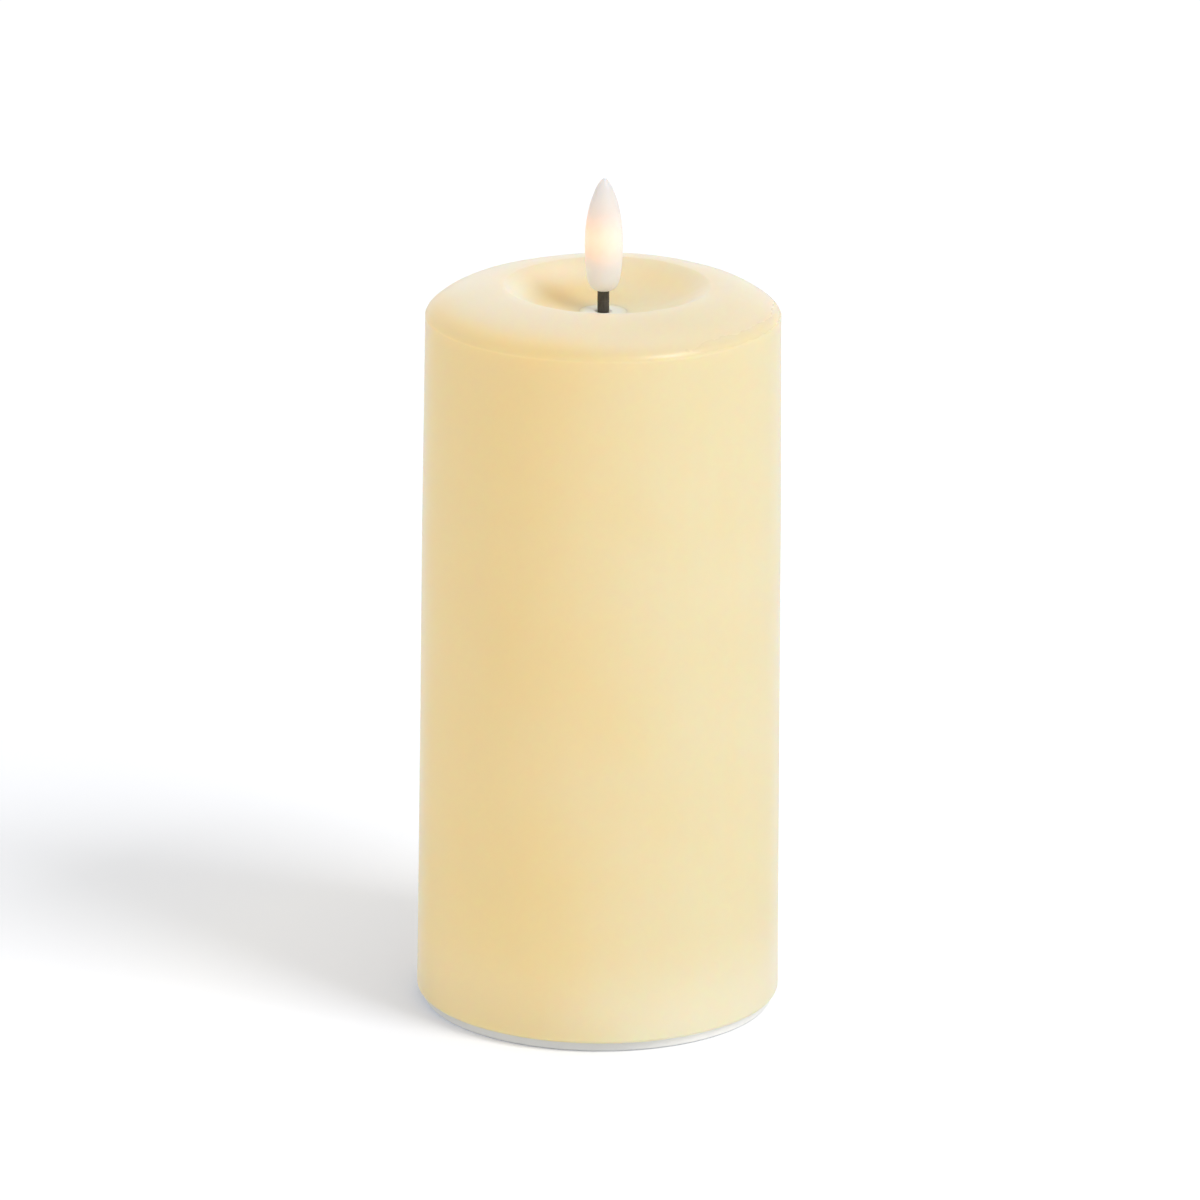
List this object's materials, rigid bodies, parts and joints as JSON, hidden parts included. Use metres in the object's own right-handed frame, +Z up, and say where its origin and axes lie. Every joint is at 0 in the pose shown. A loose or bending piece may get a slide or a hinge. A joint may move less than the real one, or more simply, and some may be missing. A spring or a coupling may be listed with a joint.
{
  "type": "flameless led candle",
  "caption": "Flameless LED pillar candle: hollow wax body with a melted-look bowl, bendable wick with a flame bulb, and a battery base with a hinged door and slide switch.",
  "frame": {"origin": "centre of the foot ring at its bottom face, on the table", "axes": "+Z up along the candle's axis, from the foot to the flame bulb; the battery door's hinge is towards -X and its latch towards +X; the slide switch is towards +Y"},
  "size_m": [0.0737, 0.0736, 0.172],
  "materials": {
    "wax": "ivory paraffin wax, satin, slightly translucent",
    "frosted_bulb": "milky translucent moulding, satin",
    "lamp_resin": "clear warm-white resin",
    "tinned_steel": "tin plated",
    "wick_sleeving": "shrunk sleeving, satin",
    "collar_plastic": "satin",
    "white_plastic": "fine moulded grain",
    "screw_steel": "zinc plated",
    "cell_can": "nickel plated",
    "cell_label": "printed film, two plain bands",
    "nickel_plate": "nickel plated, satin",
    "spring_steel": "nickel plated wire",
    "board_green": "solder resist over glass laminate",
    "chip_resin": "moulded resin",
    "crystal_can": "drawn metal can",
    "capacitor_sleeve": "shrunk film",
    "knob_black": "fine moulded grain",
    "switch_board_brown": "paper laminate",
    "wire_red": "soft insulation, satin",
    "wire_black": "soft insulation, satin",
    "wire_yellow": "soft insulation, satin",
    "hot_glue": "translucent hot-melt glue"
  },
  "bodies": {
    "root": {"wax_shell": "wax", "wick_collar": "collar_plastic", "collar_nut": "white_plastic", "base_housing": "white_plastic", "inner_cover": "white_plastic", "cover_screws": "screw_steel", "battery_1_can": "cell_can", "battery_1_label": "cell_label", "battery_2_can": "cell_can", "battery_2_label": "cell_label", "positive_terminal": "nickel_plate", "negative_terminal": "nickel_plate", "negative_spring": "spring_steel", "bridge_contact": "nickel_plate", "bridge_spring": "spring_steel", "circuit_board": "board_green", "control_chip": "chip_resin", "timer_crystal": "crystal_can", "capacitor": "capacitor_sleeve", "resistors": "chip_resin", "board_screws": "screw_steel", "switch_case": "tinned_steel", "switch_board": "switch_board_brown", "switch_screws": "screw_steel", "battery_wire_red": "wire_red", "battery_wire_black": "wire_black", "switch_wires": "wire_yellow", "lamp_wire_red": "wire_red", "lamp_wire_black": "wire_black", "splice_sleeves": "wick_sleeving", "glue_beads": "hot_glue"},
    "switch_knob": {"switch_knob": "knob_black"},
    "battery_door": {"battery_door": "white_plastic"},
    "wick": {"wick_sleeve": "wick_sleeving", "led_legs": "tinned_steel"},
    "flame": {"flame_bulb": "frosted_bulb", "led_lamp": "lamp_resin"}
  },
  "joints": [
    {"name": "switch_slide", "type": "slide", "parent": "root", "child": "switch_knob", "axis": [1, 0, 0], "range_m": [0, 0.004]},
    {"name": "door_hinge", "type": "hinge", "parent": "root", "child": "battery_door", "pos_m": [-0.0267, 0, 0.0024], "axis": [0, 1, 0], "range_deg": [0, 75]},
    {"name": "wick_bend_side", "type": "hinge", "parent": "root", "child": "wick", "pos_m": [0, 0, 0.1455], "axis": [0, 1, 0], "range_deg": [-20, 20], "deforming": ["wick_sleeve", "led_legs"]},
    {"name": "wick_bend_front", "type": "hinge", "parent": "wick", "child": "flame", "pos_m": [0, 0, 0.1481], "axis": [1, 0, 0], "range_deg": [-20, 20]}
  ]
}
